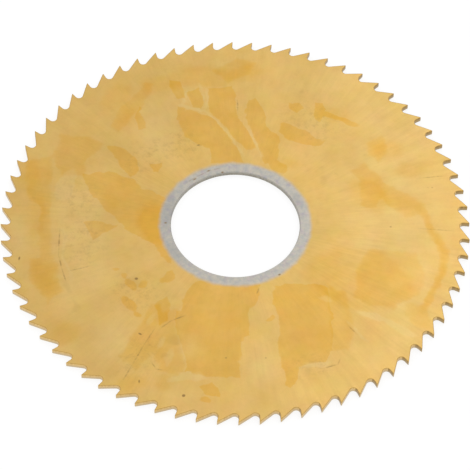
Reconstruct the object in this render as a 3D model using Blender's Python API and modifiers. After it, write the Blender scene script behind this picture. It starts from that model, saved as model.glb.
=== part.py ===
"""Metal slitting saw: a thin, hollow-ground disc with ground teeth and a plain bore.

The saw lies on the side faces of its teeth. +Z runs along the arbor's axis, the origin is on
that axis at the height of the surface that the saw lies on, and one tooth points along +X.
Seen from +Z the teeth point clockwise.
"""

import math

import bmesh
import bpy
from mathutils import Matrix, Vector

MM = 0.001

# Driving sizes of the saw
TIP_DIAMETER = 80.0 * MM
BORE_DIAMETER = 22.0 * MM
RIM_WIDTH = 1.0 * MM  # over the teeth, which is the width of the cut
BORE_CHAMFER = 0.15 * MM  # along the axis and along the radius, on both sides

# Teeth
TEETH = 72
TOOTH_DEPTH = 1.7 * MM  # from the tip circle to the gullet floor
GULLET_RADIUS = 0.7 * MM
LAND_WIDTH = 0.15 * MM  # the ground relief land behind each tip
RELIEF_ANGLE = math.radians(14.0)
RAKE_ANGLE = math.radians(6.0)

# Hollow grinding: each side falls away from the rim to a flat land round the bore
RIM_BAND = 1.8 * MM  # full-width ring left inside the gullet floors
HUB_LAND_DIAMETER = 36.0 * MM
HOLLOW_DEPTH = 0.04 * MM  # how far the land lies below the rim, on each side

# Turning allowance outside the tip circle, which the tooth grinding takes away
BLANK_ALLOWANCE = 0.6 * MM

# Smoothness
TURNED_STEPS = 2 * TEETH
FLANK_STEPS = 3
GULLET_STEPS = 6
SMOOTH_ANGLE = math.radians(25.0)
WELD = 0.00001 * MM

# Finish: gold-coloured hard coating on ground steel
COATING_COLOUR = (0.716, 0.451, 0.144, 1.0)
COATING_METALLIC = 1.0
COATING_ROUGHNESS = 0.38


def clear_scene():
    """Remove every object that the file opens with."""
    for obj in list(bpy.data.objects):
        bpy.data.objects.remove(obj, do_unlink=True)


def new_collection(name):
    """A collection of that name, linked to the scene."""
    collection = bpy.data.collections.new(name)
    bpy.context.scene.collection.children.link(collection)
    return collection


def turn(point, angle):
    """A plane point turned about the bore's axis."""
    return Matrix.Rotation(angle, 2) @ point


def bearing(vector):
    """Direction of a plane vector as an angle from 0 to a full turn."""
    return math.atan2(vector.y, vector.x) % math.tau


def land_heel():
    """End of the relief land behind the tip that points along +X."""
    tip = Vector((TIP_DIAMETER / 2, 0.0))
    return tip + LAND_WIDTH * Vector((-math.sin(RELIEF_ANGLE), math.cos(RELIEF_ANGLE)))


def gullet():
    """Centre of the gullet arc in front of the +X tooth, and where it meets the rake face.

    The arc touches the rake face and the circle of the gullet floors.
    """
    tip = Vector((TIP_DIAMETER / 2, 0.0))
    down_face = Vector((-math.cos(RAKE_ANGLE), math.sin(RAKE_ANGLE)))
    off_face = Vector((-math.sin(RAKE_ANGLE), -math.cos(RAKE_ANGLE)))
    start = tip + GULLET_RADIUS * off_face
    reach = TIP_DIAMETER / 2 - TOOTH_DEPTH + GULLET_RADIUS
    along = start.dot(down_face)
    slide = -along - math.sqrt(along ** 2 - start.length_squared + reach ** 2)
    return start + slide * down_face, tip + slide * down_face


def tooth_profile():
    """Plane points of one tooth: its tip, its land, its back and the gullet behind it.

    The back is the straight line from the land's heel that touches the next gullet's arc. The
    rake face that closes the gullet ends at the next tooth's tip.
    """
    pitch = math.tau / TEETH
    heel = land_heel()
    centre, rake_foot = (turn(point, pitch) for point in gullet())
    to_centre = centre - heel
    back_length = math.sqrt(to_centre.length_squared - GULLET_RADIUS ** 2)
    swing = math.asin(GULLET_RADIUS / to_centre.length)
    back_foot = heel + back_length * turn(to_centre.normalized(), swing)
    first = bearing(back_foot - centre)
    last = bearing(rake_foot - centre)
    points = [Vector((TIP_DIAMETER / 2, 0.0)), heel]
    for step in range(GULLET_STEPS + 1):
        angle = first + (last - first) * step / GULLET_STEPS
        points.append(centre + GULLET_RADIUS * Vector((math.cos(angle), math.sin(angle))))
    return points


def toothed_outline():
    """The saw's whole outline: the tooth profile repeated round the bore's axis."""
    profile = tooth_profile()
    outline = []
    for tooth in range(TEETH):
        angle = math.tau * tooth / TEETH
        outline.extend(turn(point, angle) for point in profile)
    return outline


def side_profile():
    """Radius and depth below the rim of one side, from the bore's edge out to the rim."""
    land_radius = HUB_LAND_DIAMETER / 2
    band_radius = TIP_DIAMETER / 2 - TOOTH_DEPTH - RIM_BAND
    profile = [(BORE_DIAMETER / 2 + BORE_CHAMFER, HOLLOW_DEPTH)]
    for step in range(FLANK_STEPS + 1):
        share = step / FLANK_STEPS
        radius = land_radius + (band_radius - land_radius) * share
        profile.append((radius, HOLLOW_DEPTH * math.cos(share * math.pi / 2)))
    return profile


def blank_section():
    """Closed section of the turned blank, down its outer side and back up through the bore."""
    edge = TIP_DIAMETER / 2 + BLANK_ALLOWANCE
    side = side_profile()
    upper = [(radius, RIM_WIDTH - depth) for radius, depth in side]
    lower = [(radius, depth) for radius, depth in reversed(side)]
    bore = BORE_DIAMETER / 2
    bore_low = (bore, HOLLOW_DEPTH + BORE_CHAMFER)
    bore_high = (bore, RIM_WIDTH - HOLLOW_DEPTH - BORE_CHAMFER)
    return upper + [(edge, RIM_WIDTH), (edge, 0.0)] + lower + [bore_low, bore_high]


def turned_blank(collection):
    """The disc before its teeth: the section turned about Z.

    It is turned a little about its axis, so that no edge of it meets a tooth's tip.
    """
    section = blank_section()
    mesh = bpy.data.meshes.new("blank")
    points = [(radius, 0.0, height) for radius, height in section]
    edges = [(index, (index + 1) % len(section)) for index in range(len(section))]
    mesh.from_pydata(points, edges, [])
    blank = bpy.data.objects.new("blank", mesh)
    blank.rotation_euler.z = math.tau / TURNED_STEPS / 3
    screw = blank.modifiers.new("turn", "SCREW")
    screw.axis = "Z"
    screw.angle = math.tau
    screw.steps = TURNED_STEPS
    screw.render_steps = TURNED_STEPS
    screw.use_merge_vertices = True
    screw.merge_threshold = WELD
    screw.use_normal_calculate = True
    collection.objects.link(blank)
    return blank


def tooth_form(collection):
    """Solid of the toothed outline, taller than the blank, which the blank is ground to."""
    curve = bpy.data.curves.new("tooth_outline", "CURVE")
    curve.dimensions = "2D"
    curve.fill_mode = "BOTH"
    curve.extrude = RIM_WIDTH
    outline = toothed_outline()
    spline = curve.splines.new("POLY")
    spline.points.add(len(outline) - 1)
    for knot, point in zip(spline.points, outline):
        knot.co = (point.x, point.y, 0.0, 1.0)
    spline.use_cyclic_u = True
    guide = bpy.data.objects.new("tooth_outline", curve)
    guide.location.z = RIM_WIDTH / 2
    collection.objects.link(guide)
    form = bpy.data.objects.new("tooth_form", evaluated_mesh(guide))
    form.matrix_world = guide.matrix_world
    bpy.data.objects.remove(guide, do_unlink=True)
    weld(form.data)
    form.hide_render = True
    form.display_type = "WIRE"
    collection.objects.link(form)
    return form


def evaluated_mesh(obj):
    """A mesh of the object as its modifiers leave it."""
    graph = bpy.context.evaluated_depsgraph_get()
    return bpy.data.meshes.new_from_object(obj.evaluated_get(graph))


def weld(mesh):
    """Join the loose caps of a filled curve to its walls."""
    shape = bmesh.new()
    shape.from_mesh(mesh)
    bmesh.ops.remove_doubles(shape, verts=shape.verts, dist=WELD)
    bmesh.ops.recalc_face_normals(shape, faces=shape.faces)
    shape.to_mesh(mesh)
    shape.free()


def coated_steel():
    """The gold-coloured coating that covers the ground steel."""
    material = bpy.data.materials.new("gold_coated_steel")
    material.use_nodes = True
    shader = material.node_tree.nodes["Principled BSDF"]
    shader.inputs["Base Color"].default_value = COATING_COLOUR
    shader.inputs["Metallic"].default_value = COATING_METALLIC
    shader.inputs["Roughness"].default_value = COATING_ROUGHNESS
    return material


def saw_blade(collection, cutters):
    """The finished saw: the turned blank ground to the toothed outline."""
    blank = turned_blank(cutters)
    grind = blank.modifiers.new("grind_teeth", "BOOLEAN")
    grind.operation = "INTERSECT"
    grind.solver = "EXACT"
    grind.object = tooth_form(cutters)
    bpy.context.view_layer.update()
    mesh = evaluated_mesh(blank)
    mesh.name = "saw_blade"
    mesh.transform(blank.matrix_world)
    bpy.data.objects.remove(blank, do_unlink=True)
    mesh.materials.clear()
    mesh.materials.append(coated_steel())
    mesh.shade_smooth()
    mesh.set_sharp_from_angle(angle=SMOOTH_ANGLE)
    blade = bpy.data.objects.new("saw_blade", mesh)
    collection.objects.link(blade)
    return blade


def main():
    """Build the saw in its own collection, with its tooth form in another."""
    clear_scene()
    saw = new_collection("slitting_saw")
    cutters = new_collection("cutters")
    saw_blade(saw, cutters)


main()
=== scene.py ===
"""Looks of the slitting saw: a gold nitride-coated disc with ground teeth, lying on a pale floor.

The saw's blade is modelled again over its CAD solid, with finer gullets and broken edges, and
is dressed in three finishes: the stained nitride of the flanks with its bare clamping ring and
a painted sheen on the lit side, the thinner nitride of the tooth faces with painted shade on the
rake faces and a painted floor reflection towards the walls' foot, and the bare steel of the bore.
"""

import logging
import math
from dataclasses import dataclass
from enum import Enum
from typing import Any, Optional

import bmesh
import bpy
from mathutils import Matrix, Quaternion, Vector

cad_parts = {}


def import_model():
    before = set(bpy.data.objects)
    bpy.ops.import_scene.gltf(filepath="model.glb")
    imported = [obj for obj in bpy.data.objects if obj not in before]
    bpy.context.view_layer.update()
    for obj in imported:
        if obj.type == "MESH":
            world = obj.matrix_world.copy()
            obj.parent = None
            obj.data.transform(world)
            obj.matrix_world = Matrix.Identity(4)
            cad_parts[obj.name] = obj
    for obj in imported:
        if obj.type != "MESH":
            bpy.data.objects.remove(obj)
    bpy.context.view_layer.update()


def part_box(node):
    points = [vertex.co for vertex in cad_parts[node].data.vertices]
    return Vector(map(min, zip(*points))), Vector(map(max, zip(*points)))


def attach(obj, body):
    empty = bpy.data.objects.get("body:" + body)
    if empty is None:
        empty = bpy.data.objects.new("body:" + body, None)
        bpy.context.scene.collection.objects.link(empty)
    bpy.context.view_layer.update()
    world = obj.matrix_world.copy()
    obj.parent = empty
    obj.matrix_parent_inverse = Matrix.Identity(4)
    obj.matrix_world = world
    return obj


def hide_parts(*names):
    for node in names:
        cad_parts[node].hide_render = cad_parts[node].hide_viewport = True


LOG = logging.getLogger("slitting_saw")

MM = 0.001

# Depth of the ground lines and of the scars
LINE_DEPTH = 0.02 * MM

# A noise texture's middle, and the span that nearly all of it lies in
NOISE_MIDDLE = 0.5
NOISE_LOW = 0.3
NOISE_HIGH = 0.7

# How much of a mark lies at the middle of its edge
EDGE_MIDDLE = 0.5

Tree = bpy.types.NodeTree
Socket = bpy.types.NodeSocket


class Side(Enum):
    """The two flanks of the blade."""

    UPPER = "upper"
    LOWER = "lower"


class Skin(Enum):
    """Place of each finish among the blade's material slots."""

    UPPER_FLANK = 0
    LOWER_FLANK = 1
    TOOTH_BACK = 2
    RAKE_FACE = 3
    TOOTH_CORNER = 4
    BORE_WALL = 5


def linear_colour(code: str) -> tuple[float, float, float, float]:
    """Turn an sRGB hex value into the linear colour that a shader takes.

    Args:
        code: Six hex digits after a hash sign.

    Returns:
        Linear red, green, blue and an alpha of 1.
    """
    parts = [int(code[start:start + 2], 16) / 255 for start in (1, 3, 5)]
    red, green, blue = (
        part / 12.92 if part <= 0.04045 else ((part + 0.055) / 1.055) ** 2.4 for part in parts
    )
    return red, green, blue, 1.0


def add_node(tree: Tree, kind: str, sockets: Optional[dict] = None,
             **settings: Any) -> bpy.types.Node:
    """Add a node with its settings and what its inputs take.

    Args:
        tree: Node tree that the node goes into.
        kind: Type of the shader node, by the end of its name.
        sockets: For an input's name or place, the output that feeds it or its own value.
        settings: Options of the node itself.

    Returns:
        The new node.
    """
    node = tree.nodes.new(f"ShaderNode{kind}")
    for name, value in settings.items():
        setattr(node, name, value)
    for key, value in (sockets or {}).items():
        if isinstance(value, Socket):
            tree.links.new(value, node.inputs[key])
        else:
            node.inputs[key].default_value = value
    return node


def new_material(name: str) -> tuple[bpy.types.Material, Tree, bpy.types.Node]:
    """Make a material with nodes.

    Args:
        name: The material's name.

    Returns:
        The material, its nodes and its shader.
    """
    material = bpy.data.materials.new(name)
    material.use_nodes = True
    tree = material.node_tree
    return material, tree, tree.nodes["Principled BSDF"]


@dataclass(frozen=True)
class Patch:
    """An oval patch on a flank, in millimetres and degrees, seen from above."""

    x: float
    y: float
    length: float
    width: float
    turn: float = 0.0


@dataclass(frozen=True)
class Plate:
    """A patch with straight sides, given by its corners in millimetres. It is convex."""

    corners: tuple[tuple[float, float], ...]

    def sides(self) -> list[tuple[Vector, float]]:
        """Where the plate's sides are.

        Returns:
            A point of each side, and the direction from there into the plate in radians.
        """
        points = [Vector(corner) for corner in self.corners]
        middle = sum(points, Vector((0.0, 0.0))) / len(points)
        sides = []
        for start, end in zip(points, points[1:] + points[:1]):
            inward = (end - start).orthogonal()
            if inward.dot(middle - start) < 0:
                inward.negate()
            sides.append((start, math.atan2(inward.y, inward.x)))
        return sides


@dataclass(frozen=True)
class Streak:
    """A line of a steady width through a few points on a flank, in millimetres."""

    width: float
    points: tuple[tuple[float, float], ...]
    overlap: float = 1.25

    def patches(self) -> list[Patch]:
        """Cut the streak into patches.

        Returns:
            The long thin patches that make it up.
        """
        made = []
        for (x0, y0), (x1, y1) in zip(self.points, self.points[1:]):
            span = Vector((x1 - x0, y1 - y0))
            turn = math.degrees(math.atan2(span.y, span.x))
            length = max(span.length * self.overlap, self.width)
            made.append(Patch((x0 + x1) / 2, (y0 + y1) / 2, length, self.width, turn))
        return made


@dataclass(frozen=True)
class Layer:
    """Marks of one kind, which run together where they meet.

    The share is how strongly the layer shows, below nothing where it takes the other way, and
    the rim is what its edges add to that. The fade is the edges' width in millimetres.
    """

    share: float
    fade: float
    rim: float = 0.0
    plates: tuple[Plate, ...] = ()
    patches: tuple[Patch, ...] = ()
    streaks: tuple[Streak, ...] = ()

    def marks(self) -> list[Patch]:
        """Gather the layer's ovals.

        Returns:
            Every patch of the layer, those of its streaks among them.
        """
        marks = list(self.patches)
        for streak in self.streaks:
            marks.extend(streak.patches())
        return marks


# Path of a long curved rub near the rim, in millimetres
RUB_ARC = ((31.4, 3.4), (32.9, -0.4), (34.4, -3.8), (35.3, -6.8), (35.0, -9.8), (33.8, -12.4),
           (32.2, -15.8), (30.9, -18.6))

# Heavier nitride, where the coating came out a deeper gold with crisp edges
RICH_GOLD = Layer(
    share=0.42,
    fade=0.4,
    rim=0.3,
    plates=(
        Plate(((-26.5, 11.0), (-24.8, 7.1), (-23.4, 5.0), (-17.9, 9.3), (-21.4, 11.1))),
        Plate(((-23.4, 5.0), (-22.0, 2.9), (-19.6, 0.3), (-12.2, 5.2), (-16.9, 8.6),
               (-17.9, 9.3))),
        Plate(((-19.6, 0.3), (-17.5, -1.8), (-15.3, -3.6), (-12.6, -4.8), (-12.0, 0.0),
               (-12.2, 5.2))),
        Plate(((-14.6, -3.2), (-12.6, -6.8), (-11.0, -8.4), (-10.6, -5.0), (-12.0, 0.0))),
        Plate(((-26.2, 0.0), (-24.3, -3.5), (-23.0, -2.4), (-20.4, 0.0), (-24.0, 0.8))),
        Plate(((-22.0, 17.0), (-20.4, 17.2), (-16.9, 13.2), (-16.6, 11.4), (-18.3, 9.9),
               (-19.8, 12.6))),
        Plate(((-14.6, 12.9), (-12.6, 13.0), (-13.0, 11.1), (-14.1, 11.3))),
        Plate(((-16.9, 20.5), (-15.4, 21.0), (-15.8, 23.0), (-16.6, 24.6), (-17.4, 22.6))),
        Plate(((-9.9, 25.2), (-9.9, 22.3), (-8.2, 18.9), (-2.8, 21.2), (-4.2, 23.0),
               (-7.5, 24.7))),
        Plate(((-8.2, 18.9), (-5.8, 16.9), (-4.1, 16.1), (0.2, 16.4), (-1.3, 19.2),
               (-2.8, 21.2))),
        Plate(((-4.1, 16.1), (-3.7, 13.0), (1.6, 13.0), (0.2, 16.4))),
        Plate(((-4.3, 29.2), (-0.5, 30.0), (0.3, 25.8), (0.8, 22.6), (-2.4, 22.2),
               (-4.0, 24.3))),
        Plate(((-2.4, 22.2), (0.8, 22.6), (2.9, 18.4), (3.3, 16.4), (2.0, 15.8), (0.2, 17.8))),
        Plate(((-11.2, 31.4), (-11.0, 29.6), (-9.9, 27.2), (-8.6, 27.2), (-8.9, 29.2),
               (-9.8, 31.2))),
        Plate(((-8.2, 28.4), (-7.5, 25.6), (-5.8, 25.0), (-5.0, 26.3), (-6.2, 29.2))),
        Plate(((3.0, 26.6), (4.2, 26.6), (5.6, 23.4), (5.6, 21.2), (2.6, 21.2), (2.0, 23.0),
               (2.1, 24.6))),
        Plate(((2.6, 21.2), (5.6, 21.2), (7.8, 18.7), (7.8, 15.6), (7.0, 13.2), (5.0, 13.2))),
        Plate(((7.8, 20.2), (8.3, 21.4), (9.4, 21.5), (12.2, 20.2), (15.6, 17.8), (14.0, 16.8),
               (11.3, 17.3), (9.2, 18.5))),
        Plate(((9.8, 26.4), (11.6, 26.5), (12.2, 24.9), (11.1, 24.1), (9.9, 25.2))),
        Plate(((14.0, 25.9), (15.2, 25.9), (16.2, 24.6), (15.2, 22.0), (14.2, 22.8))),
        Plate(((-6.9, -12.2), (4.2, -12.4), (3.4, -15.0), (2.2, -18.0), (-9.2, -18.0),
               (-8.9, -16.1))),
        Plate(((-10.2, -18.0), (2.2, -18.0), (1.8, -23.1), (-9.6, -23.1))),
        Plate(((-9.6, -23.1), (0.8, -23.1), (0.0, -31.3), (-2.4, -31.2), (-8.6, -30.4))),
        Plate(((-11.8, -15.2), (-13.6, -17.0), (-13.0, -20.5), (-11.6, -19.8), (-11.0, -17.0))),
        Plate(((7.0, -12.8), (6.0, -16.6), (6.9, -19.8), (15.8, -19.2), (15.4, -13.4),
               (13.0, -12.6))),
        Plate(((6.9, -19.8), (7.1, -26.4), (15.4, -25.9), (15.8, -19.2))),
        Plate(((7.1, -26.0), (7.3, -29.0), (7.6, -32.6), (8.5, -33.0), (9.7, -31.3),
               (10.0, -26.0))),
        Plate(((10.0, -26.0), (10.0, -29.0), (14.6, -28.2), (15.4, -26.0))),
        Plate(((-6.3, -32.8), (-5.4, -34.5), (-3.0, -35.1), (-3.2, -33.2), (-4.0, -32.0))),
    ),
    patches=(
        Patch(7.4, 12.6, 4.0, 2.2, -40.0),
        Patch(-17.6, -12.4, 3.2, 1.8, -60.0),
        Patch(-18.2, -16.7, 3.8, 1.6, -50.0),
        Patch(-11.3, -11.3, 3.0, 1.8, 66.0),
        Patch(-5.5, -35.7, 1.8, 1.2, -30.0),
        Patch(5.3, -19.4, 1.2, 1.0),
        Patch(-18.8, -10.6, 1.1, 0.8, 20.0),
        Patch(-15.4, -12.4, 1.7, 1.0, 50.0),
        Patch(-16.8, -18.8, 1.3, 0.8, -40.0),
        Patch(-20.4, -9.4, 0.9, 0.7),
    ),
    streaks=(
        Streak(1.2, ((15.2, 23.8), (18.0, 23.0), (21.4, 21.2))),
    ),
)

# Heavier nitride that is not quite so deep, with softer edges
HONEY_GOLD = Layer(
    share=0.3,
    fade=1.0,
    rim=0.1,
    plates=(
        Plate(((-31.2, 14.5), (-30.0, 19.2), (-25.3, 18.9), (-23.0, 17.4), (-23.4, 16.1),
               (-26.2, 13.5), (-30.2, 12.0))),
        Plate(((-30.4, 13.0), (-29.6, 10.2), (-26.5, 10.5), (-25.8, 14.0))),
        Plate(((-20.3, 20.4), (-21.6, 21.0), (-19.4, 25.2), (-15.4, 30.4), (-14.2, 30.2),
               (-16.4, 24.6))),
        Plate(((23.3, 17.2), (25.6, 18.2), (26.4, 15.6), (24.9, 13.0), (23.6, 14.8))),
        Plate(((20.0, 11.4), (22.1, 12.9), (24.9, 10.4), (25.5, 8.2), (22.4, 8.2))),
        Plate(((21.6, 8.6), (25.6, 8.3), (24.2, 3.4), (21.6, 3.4))),
        Plate(((24.0, 6.5), (25.6, 8.3), (28.5, 6.9), (32.6, 4.4), (32.5, 2.4), (29.3, 1.2))),
        Plate(((-10.2, -17.6), (-12.4, -18.6), (-14.0, -23.0), (-13.0, -29.6), (-9.2, -30.4))),
        Plate(((15.6, -13.0), (18.2, -14.2), (19.4, -19.0), (18.4, -25.4), (15.6, -25.9))),
        Plate(((22.4, -6.0), (30.2, -6.4), (31.8, -10.4), (30.4, -14.8), (26.4, -17.6),
               (19.8, -15.4), (20.2, -10.0))),
        Plate(((-19.6, -27.0), (-16.4, -30.0), (-12.6, -24.0), (-12.8, -17.0), (-14.2, -17.0))),
        Plate(((-3.4, 33.4), (0.8, 36.0), (3.8, 35.0), (3.2, 32.6), (-1.0, 31.0))),
        Plate(((-36.0, 13.0), (-31.6, 14.4), (-31.6, 2.4), (-35.2, 5.0))),
        Plate(((-33.6, 4.0), (-31.8, 3.6), (-31.4, -8.0), (-33.0, -8.0))),
        Plate(((-34.6, -7.6), (-31.0, -6.6), (-29.4, -14.0), (-31.6, -16.2), (-34.8, -11.4))),
    ),
    patches=(
        Patch(30.6, -19.4, 6.4, 2.6, -58.0),
    ),
    streaks=(
        Streak(1.2, RUB_ARC, overlap=1.6),
    ),
)

# Softer swells of the same deeper gold
WARM_GOLD = Layer(
    share=0.24,
    fade=1.8,
    patches=(
        Patch(-34.0, 2.0, 14.0, 3.2, 89.0),
        Patch(-35.4, 10.4, 9.0, 3.4, 84.0),
        Patch(-32.2, -11.4, 8.0, 4.4, -70.0),
        Patch(-20.6, 27.0, 9.0, 4.4, 62.0),
        Patch(-12.6, 30.4, 9.0, 3.6, 14.0),
        Patch(-4.6, 32.0, 13.0, 4.6, -4.0),
        Patch(2.3, 32.8, 5.4, 3.4, 10.0),
        Patch(9.6, 12.9, 4.6, 1.6, -6.0),
        Patch(17.0, 23.6, 8.0, 3.0, -20.0),
        Patch(26.4, 15.4, 6.0, 4.0, 30.0),
        Patch(30.6, 11.8, 8.0, 3.0, 8.0),
        Patch(20.6, -11.4, 19.0, 12.0, -20.0),
        Patch(-17.4, -32.6, 4.4, 3.0, 10.0),
        Patch(-12.2, -32.4, 3.6, 3.0, 70.0),
        Patch(-28.4, -22.4, 5.4, 4.0, 30.0),
        Patch(-14.0, -1.0, 10.0, 4.0, -62.0),
        Patch(23.0, 6.0, 9.0, 6.0, -60.0),
    ),
    streaks=(
        Streak(0.6, RUB_ARC, overlap=1.6),
    ),
)

# The deepest gold of all, with no edge that shows
EMBER_GOLD = Layer(
    share=0.25,
    fade=4.0,
    patches=(
        Patch(-14.4, 0.8, 9.0, 3.0, -64.0),
        Patch(-13.4, 2.2, 5.0, 1.4, -76.0),
        Patch(29.0, 4.6, 6.0, 2.4, -28.0),
        Patch(24.4, 16.0, 4.0, 2.6, 60.0),
        Patch(-18.4, 22.8, 5.0, 2.0, 62.0),
        Patch(24.2, 7.6, 9.0, 3.0, -58.0),
    ),
)

# Thin nitride, and places that were wiped, where the gold stays pale
PALE_GOLD = Layer(
    share=-0.26,
    fade=0.4,
    patches=(
        Patch(-29.0, 8.2, 7.6, 3.0, 70.0),
        Patch(-14.3, -19.8, 3.0, 1.0, 62.0),
        Patch(-12.4, -24.4, 3.0, 1.0, 70.0),
        Patch(-11.4, -27.4, 3.4, 1.1, 70.0),
        Patch(15.0, -15.8, 3.2, 1.1, -12.0),
        Patch(13.0, -28.8, 5.6, 1.2, 4.0),
        Patch(-8.4, -31.2, 7.6, 1.4, 4.0),
    ),
    streaks=(
        Streak(0.5, ((-10.2, 25.6), (-7.4, 25.2), (-4.9, 24.4), (-3.6, 22.7), (-2.2, 20.8),
                     (-0.8, 18.6), (0.4, 16.2), (1.9, 14.4))),
        Streak(0.4, ((-4.8, 24.6), (-4.4, 26.9), (-4.9, 29.2))),
        Streak(0.35, ((-5.0, 26.0), (-5.3, 28.4), (-6.2, 30.4))),
        Streak(0.45, ((-9.6, 25.6), (-8.4, 27.4), (-8.2, 29.2))),
        Streak(0.6, ((2.2, 20.6), (3.2, 18.3), (4.0, 16.3), (5.0, 14.0))),
        Streak(0.5, ((18.5, -20.0), (18.9, -21.4), (20.0, -22.8), (21.4, -24.4))),
        Streak(1.5, ((20.6, -18.4), (24.4, -19.6), (29.4, -23.0))),
        Streak(0.5, ((-29.1, -1.0), (-29.2, -6.4), (-28.5, -9.4), (-27.8, -12.0))),
    ),
)

# Wide hazes where the coating is thin and a little grey
DULL_GOLD = Layer(
    share=-0.2,
    fade=4.0,
    patches=(
        Patch(-25.6, -6.0, 26.0, 10.0, 92.0),
        Patch(-27.0, 4.0, 7.0, 7.0),
        Patch(-37.0, -2.0, 12.0, 3.0, 90.0),
        Patch(-13.2, 20.0, 14.0, 7.0, 80.0),
        Patch(-21.0, -24.0, 12.0, 5.0, 60.0),
        Patch(4.4, -28.0, 10.0, 4.4, 90.0),
        Patch(-8.4, -25.8, 6.0, 4.0, 60.0),
    ),
)

# Painted sheen: the far end of the lit side is made a paler gold over wide soft patches
LIT_SIDE_SHEEN = Layer(
    share=-0.18,
    fade=8.0,
    patches=(
        Patch(27.0, 0.0, 60.0, 16.0, 90.0),
        Patch(17.0, 29.0, 20.0, 6.0, -30.0),
    ),
)

# Rubs and scratches that cut into the coating
SCRATCHES = Layer(
    share=0.45,
    fade=0.22,
    patches=(
        Patch(33.3, 7.6, 0.3, 0.22),
        Patch(34.0, 7.6, 0.3, 0.22),
        Patch(26.5, -0.7, 0.36, 0.26),
        Patch(4.7, -27.4, 0.36, 0.24),
        Patch(-1.9, -27.4, 0.36, 0.24),
    ),
    streaks=(
        Streak(0.22, ((-29.9, -0.8), (-30.0, -6.4), (-29.3, -9.6), (-28.6, -12.0))),
        Streak(0.18, ((-28.5, -9.9), (-23.9, -8.6))),
        Streak(0.2, ((-18.9, -31.9), (-17.5, -29.0), (-15.3, -24.5), (-13.6, -21.4))),
        Streak(0.24, ((-12.6, -21.4), (-11.0, -20.0), (-8.6, -18.9))),
        Streak(0.2, ((-14.2, -28.2), (-13.4, -29.6), (-12.3, -29.8))),
        Streak(0.2, ((17.0, -27.6), (16.6, -28.7), (14.0, -29.6))),
        Streak(0.25, ((0.7, 27.0), (0.7, 24.3))),
        Streak(0.25, ((3.4, -14.6), (3.8, -13.4))),
        Streak(0.2, ((18.5, -21.0), (20.2, -23.0))),
        Streak(0.14, ((31.3, 9.6), (37.0, 10.2))),
        Streak(0.14, ((30.6, -1.0), (37.4, -1.6))),
        Streak(0.16, ((-8.5, 8.6), (-6.6, 10.0), (-4.4, 11.3), (-2.2, 12.0))),
    ),
)

# Rubbed places and traces of dirt, wider and fainter than the scratches
SMUDGES = Layer(
    share=0.12,
    fade=0.7,
    patches=(
        Patch(-28.5, -13.0, 4.6, 0.9, -70.0),
        Patch(-26.6, -17.0, 3.6, 0.8, -66.0),
        Patch(-10.4, -23.9, 2.4, 1.8),
        Patch(-24.2, -3.2, 1.2, 0.8, 60.0),
        Patch(-34.4, 5.4, 0.7, 0.5),
        Patch(11.4, 22.5, 0.7, 0.5),
        Patch(12.7, 22.1, 0.6, 0.5),
        Patch(12.1, 28.9, 1.2, 0.6, 20.0),
        Patch(15.1, 11.7, 0.9, 0.5),
        Patch(17.6, 10.4, 0.7, 0.5),
        Patch(15.1, 9.0, 1.8, 1.3, 80.0),
        Patch(-11.9, -26.9, 1.2, 0.8),
        Patch(11.6, -30.0, 2.6, 1.2, 90.0),
        Patch(14.0, 0.4, 2.2, 0.8, 90.0),
        Patch(22.9, 14.7, 0.6, 0.5),
        Patch(-16.9, -12.0, 3.6, 2.2, -30.0),
    ),
)

# Where fine dirt has lodged in the grinding lines
DIRT = Layer(
    share=0.24,
    fade=4.0,
    patches=(
        Patch(-9.6, 16.8, 8.0, 6.0, 20.0),
        Patch(-16.0, 14.0, 8.0, 5.0, 60.0),
        Patch(-26.0, -3.0, 14.0, 7.0, 90.0),
        Patch(-27.0, 6.0, 8.0, 5.0),
        Patch(-17.0, -14.0, 8.0, 7.0),
        Patch(-16.0, -27.0, 12.0, 5.0, 60.0),
        Patch(14.0, 22.0, 12.0, 6.0, -30.0),
        Patch(12.0, -29.0, 8.0, 4.0),
    ),
)

# Blue-grey tarnish on the bare ring
STEEL_STAINS = Layer(
    share=0.3,
    fade=2.0,
    patches=(
        Patch(-11.6, 3.0, 13.0, 2.6, 82.0),
        Patch(-10.4, -6.0, 6.0, 1.6, -60.0),
        Patch(10.6, 5.0, 4.0, 1.4, -64.0),
    ),
)

# Dots and small knocks down to the steel
SPECKS = Layer(
    share=0.8,
    fade=0.2,
    patches=(
        Patch(-16.8, -11.4, 0.62, 0.5),
        Patch(-36.6, -7.2, 0.9, 0.3, 80.0),
        Patch(-16.1, -22.6, 0.8, 0.3, -35.0),
        Patch(-8.9, -34.8, 0.6, 0.5, 30.0),
        Patch(-16.2, -32.0, 0.8, 0.24, 90.0),
        Patch(-6.2, 16.9, 0.7, 0.24, 10.0),
        Patch(-2.1, 11.0, 0.5, 0.3, 12.0),
        Patch(-6.9, 9.5, 0.9, 0.26, 38.0),
        Patch(-4.5, 11.3, 0.8, 0.26, 22.0),
        Patch(-11.9, 0.2, 0.5, 0.3),
        Patch(7.3, -10.6, 0.5, 0.3, 34.0),
    ),
)


@dataclass(frozen=True)
class Cloud:
    """A tint that comes and goes over a surface.

    The size is in millimetres. The noise that places it runs from low, where there is none of
    the tint, to high.
    """

    tint: str
    size: float
    low: float = NOISE_LOW
    high: float = NOISE_HIGH
    detail: float = 5.0
    roughness: float = 0.62


@dataclass(frozen=True)
class Push:
    """A texture that pushes positions about. Its size and its reach are in millimetres."""

    texture: str
    size: float
    reach: float
    settings: tuple[tuple[str, str], ...] = ()


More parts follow.
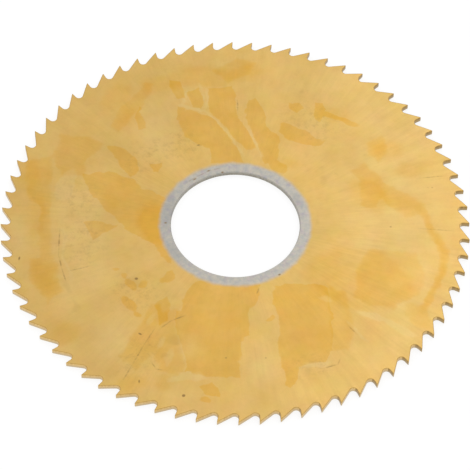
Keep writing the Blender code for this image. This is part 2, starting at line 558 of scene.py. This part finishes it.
@dataclass(frozen=True)
class NitrideFlank:
    """Titanium nitride, vapour-deposited on radially ground high-speed steel.

    It gives the eye a satin gold that drifts between pale and deep where the coating varies in
    thickness, over fine grinding lines that run out from the bore. A painted sheen makes the gold
    paler on the lit side. The clamping ring round the bore was masked while coating, so it is
    bare grey steel. Sizes are in millimetres.
    """

    side: Side
    pale: str = "#E8C680"
    deep: str = "#E4B04C"
    dark: str = "#8B6E45"
    steel: str = "#C6BFB1"
    steel_stain: str = "#8E9193"
    gold_clouds: tuple[Cloud, ...] = (
        Cloud("#F0EFED", 9.0),
        Cloud("#FFF8FF", 3.5),
        Cloud("#F9FFF2", 5.0),
    )
    steel_clouds: tuple[Cloud, ...] = (
        Cloud("#DCE7F5", 0.8, 0.35, 0.75),
        Cloud("#F6EBFF", 1.3, 0.5, 0.75),
    )
    pushes: tuple[Push, ...] = (
        Push("TexNoise", 5.0, 0.9),
        Push("TexVoronoi", 1.6, 0.3, (("feature", "SMOOTH_F1"),)),
        Push("TexNoise", 0.7, 0.25),
    )
    roughness: float = 0.38
    ring_radius: float = 12.95
    ring_fade: float = 0.5
    ring_fray: float = 0.7
    fray_size: float = 1.6
    line_spacing: float = 0.45
    line_radius: float = 25.0
    line_drift: float = 0.12
    line_dark: float = 0.96
    line_light: float = 1.025
    line_roughness: float = 0.03
    line_bump: float = 0.12
    wear_size: float = 14.0
    wear_low: float = 0.35
    wear_high: float = 0.65
    most_worn: float = 0.2
    base_tone: float = 0.3
    haze_size: float = 6.0
    haze_share: float = 0.14
    fleck_size: float = 1.1
    fleck_share: float = 0.08
    fleck_low: float = 0.48
    fleck_high: float = 0.76
    break_low: float = 0.4
    break_high: float = 0.6
    faint_scratch: float = 0.3
    full_scratch: float = 1.5
    lower_turn: float = 140.0

    def material(self) -> bpy.types.Material:
        """Make the finish.

        Returns:
            The material of one flank.
        """
        material, tree, shader = new_material(f"titanium_nitride_{self.side.value}")
        place = self.place(tree)
        radius = add_node(tree, "VectorMath", {0: place}, operation="LENGTH")
        radius = radius.outputs["Value"]
        wander = self.wander(tree, place)
        scars = self.scars(tree, place, wander)
        lines = self.grinding_lines(tree, place, radius)
        gold = add_node(tree, "Mix", {
            0: self.tone(tree, place, wander),
            6: linear_colour(self.pale), 7: linear_colour(self.deep),
        }, data_type="RGBA").outputs[2]
        gold = self.clouded(tree, place, gold, self.gold_clouds)
        metal = add_node(tree, "Mix", {
            0: self.bare_ring(tree, place, radius), 6: gold, 7: self.bare_steel(tree, place),
        }, data_type="RGBA").outputs[2]
        marked = add_node(tree, "Mix", {
            0: scars, 6: metal, 7: linear_colour(self.dark),
        }, data_type="RGBA").outputs[2]
        shade = add_node(tree, "MapRange", {
            "Value": lines, "From Min": NOISE_LOW, "From Max": NOISE_HIGH,
            "To Min": self.line_dark, "To Max": self.line_light,
        })
        colour = add_node(tree, "Mix", {
            0: 1.0, 6: marked, 7: shade.outputs[0],
        }, data_type="RGBA", blend_type="MULTIPLY").outputs[2]
        rough = add_node(tree, "MapRange", {
            "Value": lines, "From Min": NOISE_LOW, "From Max": NOISE_HIGH,
            "To Min": self.roughness + self.line_roughness,
            "To Max": self.roughness - self.line_roughness,
        })
        relief = add_node(tree, "Math", {0: lines, 1: scars}, operation="SUBTRACT")
        bump = add_node(tree, "Bump", {
            "Height": relief.outputs[0], "Strength": self.line_bump, "Distance": LINE_DEPTH,
        })
        tree.links.new(colour, shader.inputs["Base Color"])
        tree.links.new(rough.outputs[0], shader.inputs["Roughness"])
        tree.links.new(bump.outputs[0], shader.inputs["Normal"])
        shader.inputs["Metallic"].default_value = 1.0
        return material

    def place(self, tree: Tree) -> Socket:
        """Position on the flank in millimetres, with the height taken out.

        Args:
            tree: The material's nodes.

        Returns:
            The position's output.
        """
        coordinates = add_node(tree, "TexCoord")
        turn = math.radians(self.lower_turn) if self.side is Side.LOWER else 0.0
        scale = 1 / MM
        return add_node(tree, "Mapping", {
            "Vector": coordinates.outputs["Object"],
            "Rotation": (0.0, 0.0, turn),
            "Scale": (scale, scale, 0.0),
        }).outputs[0]

    def grinding_lines(self, tree: Tree, place: Socket, radius: Socket) -> Socket:
        """Fine lines that the grinding wheel left, running out from the bore.

        The real lines are about 0.05 mm apart. They are drawn 0.45 mm apart at the middle of
        the flank, which is as fine as shows.

        Args:
            tree: The material's nodes.
            place: Position on the flank.
            radius: Distance from the axis.

        Returns:
            Height of the lines, about 0.5.
        """
        around = add_node(tree, "VectorMath", {0: place}, operation="NORMALIZE")
        count = self.line_radius / self.line_spacing
        outward = add_node(tree, "Math", {0: radius, 1: self.line_drift}, operation="MULTIPLY")
        lift = add_node(tree, "CombineXYZ", {"Z": outward.outputs[0]})
        grain = add_node(tree, "VectorMath", {
            0: around.outputs[0], 1: (count, count, 0.0), 2: lift.outputs[0],
        }, operation="MULTIPLY_ADD")
        lines = add_node(tree, "TexNoise", {
            "Vector": grain.outputs[0], "Scale": 1.0, "Detail": 3.0, "Roughness": 0.7,
        })
        worn = add_node(tree, "TexNoise", {
            "Vector": place, "Scale": 1 / self.wear_size, "Detail": 1.0,
        })
        kept = add_node(tree, "MapRange", {
            "Value": worn.outputs[0], "From Min": self.wear_low, "From Max": self.wear_high,
            "To Min": self.most_worn,
        })
        return add_node(tree, "Mix", {
            0: kept.outputs[0], 2: NOISE_MIDDLE, 3: lines.outputs[0],
        }).outputs[0]

    def wander(self, tree: Tree, place: Socket) -> Socket:
        """Position pushed about, which makes the patches' edges ragged and angular.

        Args:
            tree: The material's nodes.
            place: Position on the flank.

        Returns:
            The pushed position.
        """
        moved = place
        for push in self.pushes:
            texture = add_node(tree, push.texture, {"Vector": place, "Scale": 1 / push.size},
                               **dict(push.settings))
            shift = add_node(tree, "VectorMath", {
                0: texture.outputs["Color"], 1: (NOISE_MIDDLE, NOISE_MIDDLE, NOISE_MIDDLE),
            }, operation="SUBTRACT")
            moved = add_node(tree, "VectorMath", {
                0: shift.outputs[0], 1: (2 * push.reach, 2 * push.reach, 0.0), 2: moved,
            }, operation="MULTIPLY_ADD").outputs[0]
        return moved

    def ramp(self, tree: Tree, place: Socket, kind: str, start: tuple[float, float],
             turn: float, size: tuple[float, float]) -> Socket:
        """A gradient texture that is mapped in its own node, which keeps the shader small.

        Args:
            tree: The material's nodes.
            place: Position on the flank.
            kind: The gradient's type.
            start: Where it starts, or its middle.
            turn: Direction of its X axis, in radians.
            size: Its lengths along X and Y.

        Returns:
            The gradient's value.
        """
        node = add_node(tree, "TexGradient", {"Vector": place}, gradient_type=kind)
        node.texture_mapping.vector_type = "TEXTURE"
        node.texture_mapping.translation = (*start, 0.0)
        node.texture_mapping.rotation = (0.0, 0.0, turn)
        node.texture_mapping.scale = (*size, 1.0)
        return node.outputs["Fac"]

    def cover(self, tree: Tree, place: Socket, layer: Layer) -> Socket:
        """How much of a layer lies at a place.

        Args:
            tree: The material's nodes.
            place: Position on the flank.
            layer: The marks.

        Returns:
            0 outside every mark and 1 well inside one.
        """
        inside = 0.0
        for mark in layer.marks():
            half_width = (mark.width + layer.fade) / 2
            half_length = (mark.length + layer.fade) / 2
            oval = self.ramp(tree, place, "SPHERICAL", (mark.x, mark.y),
                             math.radians(mark.turn), (half_length, half_width))
            inside = add_node(tree, "Math", {0: oval, 1: half_width, 2: inside},
                              operation="MULTIPLY_ADD").outputs[0]
        for plate in layer.plates:
            depth = 1.0
            for point, turn in plate.sides():
                edge = point - layer.fade / 2 * Vector((math.cos(turn), math.sin(turn)))
                side = self.ramp(tree, place, "LINEAR", tuple(edge), turn,
                                 (layer.fade, layer.fade))
                depth = add_node(tree, "Math", {0: side, 1: depth},
                                 operation="MINIMUM").outputs[0]
            inside = add_node(tree, "Math", {0: depth, 1: layer.fade, 2: inside},
                              operation="MULTIPLY_ADD").outputs[0]
        return add_node(tree, "MapRange", {
            "Value": inside, "From Max": layer.fade,
        }, interpolation_type="SMOOTHSTEP").outputs[0]

    def clouded(self, tree: Tree, place: Socket, colour: Any,
                clouds: tuple[Cloud, ...]) -> Socket:
        """A colour with faint clouds of other tints over it.

        Args:
            tree: The material's nodes.
            place: Position on the flank.
            colour: The colour's output, or the colour itself.
            clouds: The tints, which the colour is multiplied by.

        Returns:
            The clouded colour's output.
        """
        for cloud in clouds:
            noise = add_node(tree, "TexNoise", {
                "Vector": place, "Scale": 1 / cloud.size, "Detail": cloud.detail,
                "Roughness": cloud.roughness,
            })
            share = add_node(tree, "MapRange", {
                "Value": noise.outputs[0], "From Min": cloud.low, "From Max": cloud.high,
            })
            colour = add_node(tree, "Mix", {
                0: share.outputs[0], 6: colour, 7: linear_colour(cloud.tint),
            }, data_type="RGBA", blend_type="MULTIPLY").outputs[2]
        return colour

    def tone(self, tree: Tree, place: Socket, wander: Socket) -> Socket:
        """Where the coating lies between its pale and its deep gold, with a painted sheen on the
        lit side.

        Args:
            tree: The material's nodes.
            place: Position on the flank.
            wander: The same position, pushed about.

        Returns:
            0 at the palest and 1 at the deepest.
        """
        haze = add_node(tree, "TexNoise", {
            "Vector": place, "Scale": 1 / self.haze_size, "Detail": 6.0, "Roughness": 0.65,
        })
        total = add_node(tree, "MapRange", {
            "Value": haze.outputs[0], "From Min": NOISE_LOW, "From Max": NOISE_HIGH,
            "To Min": self.base_tone - self.haze_share,
            "To Max": self.base_tone + self.haze_share,
        }, clamp=False).outputs[0]
        # The last of these layers is a painted sheen, which makes the lit side a paler gold
        for layer in (WARM_GOLD, HONEY_GOLD, RICH_GOLD, EMBER_GOLD, PALE_GOLD, DULL_GOLD,
                      LIT_SIDE_SHEEN):
            cover = self.cover(tree, wander, layer)
            total = add_node(tree, "Math", {0: cover, 1: layer.share, 2: total},
                             operation="MULTIPLY_ADD").outputs[0]
            if layer.rim:
                rim = add_node(tree, "Math", {0: cover, 1: EDGE_MIDDLE}, operation="PINGPONG")
                total = add_node(tree, "Math", {
                    0: rim.outputs[0], 1: layer.rim, 2: total,
                }, operation="MULTIPLY_ADD").outputs[0]
        return total

    def scars(self, tree: Tree, place: Socket, wander: Socket) -> Socket:
        """Scratches, rubs, specks and flecks of dirt.

        Args:
            tree: The material's nodes.
            place: Position on the flank.
            wander: The same position, pushed about.

        Returns:
            0 where the coating is whole and up to 1 in a scar.
        """
        fleck = add_node(tree, "TexNoise", {
            "Vector": place, "Scale": 1 / self.fleck_size, "Detail": 4.0, "Roughness": 0.75,
        })
        flecks = add_node(tree, "MapRange", {
            "Value": fleck.outputs[0], "From Min": self.fleck_low, "From Max": self.fleck_high,
        })
        dirt = add_node(tree, "Math", {
            0: self.cover(tree, wander, DIRT), 1: DIRT.share, 2: self.fleck_share,
        }, operation="MULTIPLY_ADD")
        total = add_node(tree, "Math", {0: flecks.outputs[0], 1: dirt.outputs[0]},
                         operation="MULTIPLY").outputs[0]
        broken = add_node(tree, "MapRange", {
            "Value": fleck.outputs[0], "From Min": self.break_low, "From Max": self.break_high,
            "To Min": self.faint_scratch * SCRATCHES.share,
            "To Max": self.full_scratch * SCRATCHES.share,
        }).outputs[0]
        for spot, layer, strength in (
            (place, SCRATCHES, broken),
            (wander, SMUDGES, SMUDGES.share),
            (place, SPECKS, SPECKS.share),
        ):
            part = add_node(tree, "Math", {
                0: self.cover(tree, spot, layer), 1: strength,
            }, operation="MULTIPLY").outputs[0]
            total = add_node(tree, "Math", {0: total, 1: part},
                             operation="MAXIMUM").outputs[0]
        return total

    def bare_ring(self, tree: Tree, place: Socket, radius: Socket) -> Socket:
        """The ring round the bore that the coating fixture covered.

        Args:
            tree: The material's nodes.
            place: Position on the flank.
            radius: Distance from the axis.

        Returns:
            1 on the bare ring and 0 on the coating.
        """
        fray = add_node(tree, "TexNoise", {
            "Vector": place, "Scale": 1 / self.fray_size, "Detail": 3.0, "Roughness": 0.5,
        })
        frayed = add_node(tree, "Math", {
            0: fray.outputs[0], 1: self.ring_fray, 2: radius,
        }, operation="MULTIPLY_ADD")
        middle = self.ring_radius + self.ring_fray / 2
        return add_node(tree, "MapRange", {
            "Value": frayed.outputs[0],
            "From Min": middle + self.ring_fade, "From Max": middle - self.ring_fade,
        }, interpolation_type="SMOOTHSTEP").outputs[0]

    def bare_steel(self, tree: Tree, place: Socket) -> Socket:
        """Colour of the bare ring, which is faintly mottled.

        Args:
            tree: The material's nodes.
            place: Position on the flank.

        Returns:
            The colour's output.
        """
        colour = self.clouded(tree, place, linear_colour(self.steel), self.steel_clouds)
        stained = add_node(tree, "Math", {
            0: self.cover(tree, place, STEEL_STAINS), 1: STEEL_STAINS.share,
        }, operation="MULTIPLY")
        return add_node(tree, "Mix", {
            0: stained.outputs[0], 6: colour, 7: linear_colour(self.steel_stain),
        }, data_type="RGBA").outputs[2]


@dataclass(frozen=True)
class GroundFace:
    """Steel ground across its thickness, under a thin nitride or under none.

    It gives the eye a dull brown-grey metal with fine lines across the blade, drawn as coarse
    as they need to be to show. Where it has a foot colour, that is what it fades to below the
    upper
    edge: a greyer tone that is a painted reflection of the floor near the wall's foot. Sizes are
    in millimetres.
    """

    name: str
    light: str
    shade: str
    foot: Optional[str] = None
    painted_reflection_top: float = 0.85
    painted_reflection_bottom: float = 0.15
    roughness: float = 0.4
    line_spacing: float = 0.25
    line_length: float = 2.0
    line_bump: float = 0.3

    def material(self) -> bpy.types.Material:
        """Make the finish.

        Returns:
            The material.
        """
        material, tree, shader = new_material(self.name)
        coordinates = add_node(tree, "TexCoord")
        across = 1 / (self.line_spacing * MM)
        along = 1 / (self.line_length * MM)
        stretched = add_node(tree, "Mapping", {
            "Vector": coordinates.outputs["Object"], "Scale": (across, across, along),
        })
        grain = add_node(tree, "TexNoise", {
            "Vector": stretched.outputs[0], "Scale": 1.0, "Detail": 3.0, "Roughness": 0.6,
        })
        share = add_node(tree, "MapRange", {
            "Value": grain.outputs[0], "From Min": NOISE_LOW, "From Max": NOISE_HIGH,
        })
        colour = add_node(tree, "Mix", {
            0: share.outputs[0], 6: linear_colour(self.shade), 7: linear_colour(self.light),
        }, data_type="RGBA").outputs[2]
        # Painted reflection: towards its foot the wall fades to a greyer colour that stands in
        # for the floor it reflects
        if self.foot:
            height = add_node(tree, "SeparateXYZ", {0: coordinates.outputs["Object"]})
            depth = add_node(tree, "MapRange", {
                "Value": height.outputs["Z"], "From Min": self.painted_reflection_top * MM,
                "From Max": self.painted_reflection_bottom * MM,
            }, interpolation_type="SMOOTHSTEP")
            colour = add_node(tree, "Mix", {
                0: depth.outputs[0], 6: colour, 7: linear_colour(self.foot),
            }, data_type="RGBA").outputs[2]
        bump = add_node(tree, "Bump", {
            "Height": grain.outputs[0], "Strength": self.line_bump, "Distance": LINE_DEPTH,
        })
        tree.links.new(colour, shader.inputs["Base Color"])
        tree.links.new(bump.outputs[0], shader.inputs["Normal"])
        shader.inputs["Metallic"].default_value = 1.0
        shader.inputs["Roughness"].default_value = self.roughness
        return material


@dataclass
class Blade:
    """The saw's blade. Its sizes are in millimetres and degrees."""

    tip_radius: float
    width: float
    bore_radius: float = 11.0
    bore_chamfer: float = 0.15
    teeth: int = 72
    tooth_depth: float = 1.7
    gullet_radius: float = 0.7
    land_width: float = 0.15
    relief_angle: float = 14.0
    rake_angle: float = 6.0
    rake_facing: float = 0.85
    rim_band: float = 1.8
    hub_land_radius: float = 18.0
    hollow_depth: float = 0.04
    corner_width: float = 0.09
    corner_drop: float = 0.03
    steps_round: int = 288
    gullet_steps: int = 10
    flank_steps: int = 6
    flat_facing: float = 0.5
    sharp_angle: float = 16.0
    weld: float = 0.0005

    def turned(self, point: Vector, angle: float) -> Vector:
        """A plane point turned about the bore's axis by an angle in radians."""
        return Matrix.Rotation(angle, 2) @ point

    def gullet(self) -> tuple[Vector, Vector]:
        """Find the gullet in front of the +X tooth.

        Returns:
            The arc's centre, and the point where the arc meets the rake face.
        """
        rake = math.radians(self.rake_angle)
        tip = Vector((self.tip_radius, 0.0))
        down_face = Vector((-math.cos(rake), math.sin(rake)))
        off_face = Vector((-math.sin(rake), -math.cos(rake)))
        start = tip + self.gullet_radius * off_face
        reach = self.tip_radius - self.tooth_depth + self.gullet_radius
        along = start.dot(down_face)
        slide = -along - math.sqrt(along ** 2 - start.length_squared + reach ** 2)
        return start + slide * down_face, tip + slide * down_face

    def tooth_edge(self, shape: bmesh.types.BMesh) -> None:
        """Draw one tooth's edge: tip, land, back, gullet and the next tooth's rake face.

        Args:
            shape: An empty mesh, which gets the edge at height 0.
        """
        pitch = math.tau / self.teeth
        relief = math.radians(self.relief_angle)
        tip = Vector((self.tip_radius, 0.0))
        heel = tip + self.land_width * Vector((-math.sin(relief), math.cos(relief)))
        centre, rake_foot = (self.turned(point, pitch) for point in self.gullet())
        to_centre = centre - heel
        back_length = math.sqrt(to_centre.length_squared - self.gullet_radius ** 2)
        swing = math.asin(self.gullet_radius / to_centre.length)
        back_foot = heel + back_length * self.turned(to_centre.normalized(), swing)
        sweep = (back_foot - centre).angle_signed(rake_foot - centre)
        made = [shape.verts.new((point.x, point.y, 0.0)) for point in (tip, heel, back_foot)]
        shape.edges.new(made[:2])
        shape.edges.new(made[1:])
        arc = bmesh.ops.spin(
            shape, geom=made[2:], cent=(centre.x, centre.y, 0.0), axis=(0.0, 0.0, 1.0),
            angle=-sweep, steps=self.gullet_steps,
        )
        foot = next(item for item in arc["geom_last"] if isinstance(item, bmesh.types.BMVert))
        next_tip = self.turned(tip, pitch)
        shape.edges.new((foot, shape.verts.new((next_tip.x, next_tip.y, 0.0))))

    def toothed_rim(self, shape: bmesh.types.BMesh) -> list[bmesh.types.BMEdge]:
        """Make the teeth's upper edge all round, with its corner broken.

        Args:
            shape: An empty mesh, which gets the rim's walls down to the middle plane.

        Returns:
            The edges that bound the flat upper side.
        """
        self.tooth_edge(shape)
        bmesh.ops.spin(
            shape, geom=shape.verts[:] + shape.edges[:], cent=(0.0, 0.0, 0.0),
            axis=(0.0, 0.0, 1.0), angle=math.tau, steps=self.teeth, use_duplicate=True,
            use_merge=True,
        )
        bmesh.ops.remove_doubles(shape, verts=shape.verts, dist=self.weld)
        bmesh.ops.translate(
            shape, verts=shape.verts, vec=(0.0, 0.0, self.width / 2 - self.corner_drop))
        disc = bmesh.ops.contextual_create(shape, geom=shape.edges[:])["faces"][0]
        disc.normal_update()
        if disc.normal.z < 0:
            disc.normal_flip()
        corner = bmesh.ops.inset_region(
            shape, faces=[disc], thickness=self.corner_width, depth=self.corner_drop,
            use_even_offset=True, use_boundary=True,
        )
        for face in corner["faces"]:
            face.material_index = Skin.TOOTH_CORNER.value
        border = disc.edges[:]
        bmesh.ops.delete(shape, geom=[disc], context="FACES_ONLY")
        outline = [edge for edge in shape.edges if edge.is_boundary and edge not in border]
        wall = bmesh.ops.extrude_edge_only(shape, edges=outline)["geom"]
        lower = [item for item in wall if isinstance(item, bmesh.types.BMVert)]
        for vertex in lower:
            vertex.co.z = 0.0
        return border

    def side_profile(self) -> list[Vector]:
        """Section of the upper half from the bore's middle out to the full-width band.

        Returns:
            Points on the XZ plane, above the middle plane.
        """
        top = self.width / 2
        land = top - self.hollow_depth
        band = self.tip_radius - self.tooth_depth - self.rim_band
        points = [
            Vector((self.bore_radius, 0.0, 0.0)),
            Vector((self.bore_radius, 0.0, land - self.bore_chamfer)),
            Vector((self.bore_radius + self.bore_chamfer, 0.0, land)),
        ]
        for step in range(self.flank_steps + 1):
            share = step / self.flank_steps
            radius = self.hub_land_radius + (band - self.hub_land_radius) * share
            fall = self.hollow_depth * math.cos(share * math.pi / 2)
            points.append(Vector((radius, 0.0, top - fall)))
        return points

    def hollow_side(self, shape: bmesh.types.BMesh) -> list[bmesh.types.BMEdge]:
        """Turn the bore wall and the hollow-ground flank.

        Args:
            shape: The mesh that they are added to.

        Returns:
            The edges of the flank's outer circle.
        """
        profile = self.side_profile()
        points = [shape.verts.new(point) for point in profile]
        edges = [shape.edges.new(pair) for pair in zip(points, points[1:])]
        bmesh.ops.spin(
            shape, geom=points + edges, cent=(0.0, 0.0, 0.0), axis=(0.0, 0.0, 1.0),
            angle=math.tau, steps=self.steps_round, use_merge=True,
        )
        band = profile[-1].x
        return [
            edge for edge in shape.edges
            if all(abs(vertex.co.xy.length - band) < self.weld for vertex in edge.verts)
            and all(vertex.co.z > 0 for vertex in edge.verts)
        ]

    def skin(self, face: bmesh.types.BMFace) -> Skin:
        """Which finish a face has.

        Args:
            face: A face of the finished shape.

        Returns:
            The finish.
        """
        middle = face.calc_center_median()
        if abs(face.normal.z) > self.flat_facing:
            if face.material_index == Skin.TOOTH_CORNER.value:
                return Skin.TOOTH_CORNER
            return Skin.UPPER_FLANK if middle.z > 0 else Skin.LOWER_FLANK
        if middle.xy.length < self.bore_radius + self.bore_chamfer:
            return Skin.BORE_WALL
        clockwise = Vector((middle.y, -middle.x)).normalized()
        faces_cut = face.normal.xy.dot(clockwise) > self.rake_facing
        return Skin.RAKE_FACE if faces_cut else Skin.TOOTH_BACK

    def mesh(self) -> bpy.types.Mesh:
        """Model the blade.

        Returns:
            The finished mesh, in metres, lying on height 0.
        """
        shape = bmesh.new()
        border = self.toothed_rim(shape)
        circle = self.hollow_side(shape)
        bmesh.ops.triangle_fill(
            shape, use_beauty=True, use_dissolve=False, edges=border + circle,
            normal=(0.0, 0.0, 1.0),
        )
        bmesh.ops.mirror(
            shape, geom=shape.verts[:] + shape.edges[:] + shape.faces[:],
            matrix=Matrix.Identity(4), merge_dist=self.weld, axis="Z",
        )
        bmesh.ops.remove_doubles(shape, verts=shape.verts, dist=self.weld)
        bmesh.ops.recalc_face_normals(shape, faces=shape.faces)
        for face in shape.faces:
            face.material_index = self.skin(face).value
            face.smooth = True
        bmesh.ops.translate(shape, verts=shape.verts, vec=(0.0, 0.0, self.width / 2))
        bmesh.ops.scale(shape, verts=shape.verts, vec=(MM, MM, MM))
        mesh = bpy.data.meshes.new("ground_blade")
        shape.to_mesh(mesh)
        shape.free()
        mesh.set_sharp_from_angle(angle=math.radians(self.sharp_angle))
        return mesh

    def dress(self, mesh: bpy.types.Mesh) -> None:
        """Give the mesh its finishes, in the order of Skin.

        Args:
            mesh: The blade's mesh.
        """
        finishes = {
            Skin.UPPER_FLANK: NitrideFlank(Side.UPPER),
            Skin.LOWER_FLANK: NitrideFlank(Side.LOWER),
            # The foot colours of the tooth walls are a painted reflection of the floor near their
            # foot
            Skin.TOOTH_BACK: GroundFace("nitride_on_ground_backs", light="#EAC884",
                                        shade="#D0AC6C", foot="#CEB993"),
            # Rake faces: thin nitride, and their darker brown is also painted shade for the dim
            # surroundings they reflect
            Skin.RAKE_FACE: GroundFace("thin_nitride_and_painted_shade_on_rake_faces", light="#B69456",
                                       shade="#957742", foot="#B09B76"),
            Skin.TOOTH_CORNER: GroundFace("worn_nitride_corners", light="#D6AE62",
                                          shade="#BC9650"),
            Skin.BORE_WALL: GroundFace("bare_steel_bore", light="#A9A498", shade="#8A857A"),
        }
        for skin in Skin:
            mesh.materials.append(finishes[skin].material())

    def build(self) -> bpy.types.Object:
        """Make the blade and put it over its CAD node.

        Returns:
            The blade's object.
        """
        mesh = self.mesh()
        self.dress(mesh)
        blade = bpy.data.objects.new("ground_blade", mesh)
        bpy.context.scene.collection.objects.link(blade)
        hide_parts("saw_blade")
        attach(blade, "root")
        return blade


@dataclass
class Studio:
    """Floor, light and camera. Its sizes are in metres and degrees."""

    floor_half: float = 3.0
    floor_gap: float = 0.02 * MM
    world_strength: float = 0.81
    lamp_power: float = 0.66
    lamp_size: float = 0.35
    lamp_place: tuple[float, float, float] = (0.289, 0.512, 0.809)
    paper_glow: float = 0.75
    paper_white: float = 1.1
    camera_place: tuple[float, float, float] = (-0.009961, -0.302583, 0.417557)
    camera_aim: tuple[float, float, float] = (-0.00009, -0.0024, 0.001)
    camera_roll: float = 1.459
    lens: float = 231.28
    sensor: float = 36.0

    def floor(self) -> bpy.types.Object:
        """Lay the floor.

        Returns:
            The floor's object.
        """
        shape = bmesh.new()
        bmesh.ops.create_grid(shape, x_segments=2, y_segments=2, size=self.floor_half)
        bmesh.ops.translate(shape, verts=shape.verts, vec=(0.0, 0.0, -self.floor_gap))
        mesh = bpy.data.meshes.new("studio_floor")
        shape.to_mesh(mesh)
        shape.free()
        mesh.materials.append(self.paper())
        floor = bpy.data.objects.new("studio_floor", mesh)
        bpy.context.scene.collection.objects.link(floor)
        return floor

    def paper(self) -> bpy.types.Material:
        """White background paper, which shows as white and keeps a soft shadow.

        Returns:
            The floor's material.
        """
        material, tree, sheet = new_material("matt_white_paper")
        sheet.inputs["Base Color"].default_value = linear_colour("#F4F4F4")
        sheet.inputs["Roughness"].default_value = 0.9
        sheet.inputs["Specular IOR Level"].default_value = 0.0
        glow = add_node(tree, "Emission", {"Strength": self.paper_white})
        path = add_node(tree, "LightPath")
        seen = add_node(tree, "Math", {
            0: path.outputs["Is Camera Ray"], 1: path.outputs["Is Glossy Ray"],
        }, operation="MAXIMUM")
        seen = add_node(tree, "Math", {
            0: seen.outputs[0], 1: path.outputs["Is Transmission Ray"],
        }, operation="MAXIMUM")
        share = add_node(tree, "Math", {0: seen.outputs[0], 1: self.paper_glow},
                         operation="MULTIPLY")
        mix = add_node(tree, "MixShader", {
            0: share.outputs[0], 1: sheet.outputs[0], 2: glow.outputs[0],
        })
        tree.links.new(mix.outputs[0], tree.nodes["Material Output"].inputs["Surface"])
        return material

    def light(self) -> None:
        """Light the set with an even white surround and one broad soft lamp."""
        world = bpy.data.worlds.new("studio")
        world.use_nodes = True
        tree = world.node_tree
        surround = tree.nodes["Background"]
        surround.inputs["Color"].default_value = (1.0, 1.0, 1.0, 1.0)
        path = add_node(tree, "LightPath")
        strength = add_node(tree, "MapRange", {
            "Value": path.outputs["Is Camera Ray"], "To Min": self.world_strength,
            "To Max": 1.0,
        })
        tree.links.new(strength.outputs[0], surround.inputs["Strength"])
        bpy.context.scene.world = world
        lamp = bpy.data.lights.new("soft_box", "AREA")
        lamp.energy = self.lamp_power
        lamp.size = self.lamp_size
        holder = bpy.data.objects.new("soft_box", lamp)
        holder.location = self.lamp_place
        holder.rotation_mode = "QUATERNION"
        holder.rotation_quaternion = (-Vector(self.lamp_place)).to_track_quat("-Z", "Y")
        bpy.context.scene.collection.objects.link(holder)

    def camera(self) -> None:
        """Place the camera and make it the scene's own."""
        view = bpy.data.cameras.new("camera")
        view.sensor_width = self.sensor
        view.lens = self.lens
        view.clip_start = 0.01
        view.clip_end = 20.0
        holder = bpy.data.objects.new("camera", view)
        place = Vector(self.camera_place)
        sight = (Vector(self.camera_aim) - place).to_track_quat("-Z", "Y")
        roll = Quaternion((0.0, 0.0, 1.0), math.radians(self.camera_roll))
        holder.location = place
        holder.rotation_mode = "QUATERNION"
        holder.rotation_quaternion = sight @ roll
        bpy.context.scene.collection.objects.link(holder)
        bpy.context.scene.camera = holder

    def build(self) -> None:
        """Set up floor, light and camera."""
        self.floor()
        self.light()
        self.camera()


def main() -> None:
    """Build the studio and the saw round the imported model."""
    logging.basicConfig(level=logging.INFO, format="%(name)s: %(message)s")
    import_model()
    bpy.context.scene.view_settings.view_transform = "Standard"
    Studio().build()
    LOG.info("studio is set")
    low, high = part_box("saw_blade")
    blade = Blade(tip_radius=high.x / MM, width=(high.z - low.z) / MM).build()
    LOG.info("%s has %d faces", blade.name, len(blade.data.polygons))
    bpy.context.view_layer.update()


if __name__ == "__main__":
    main()
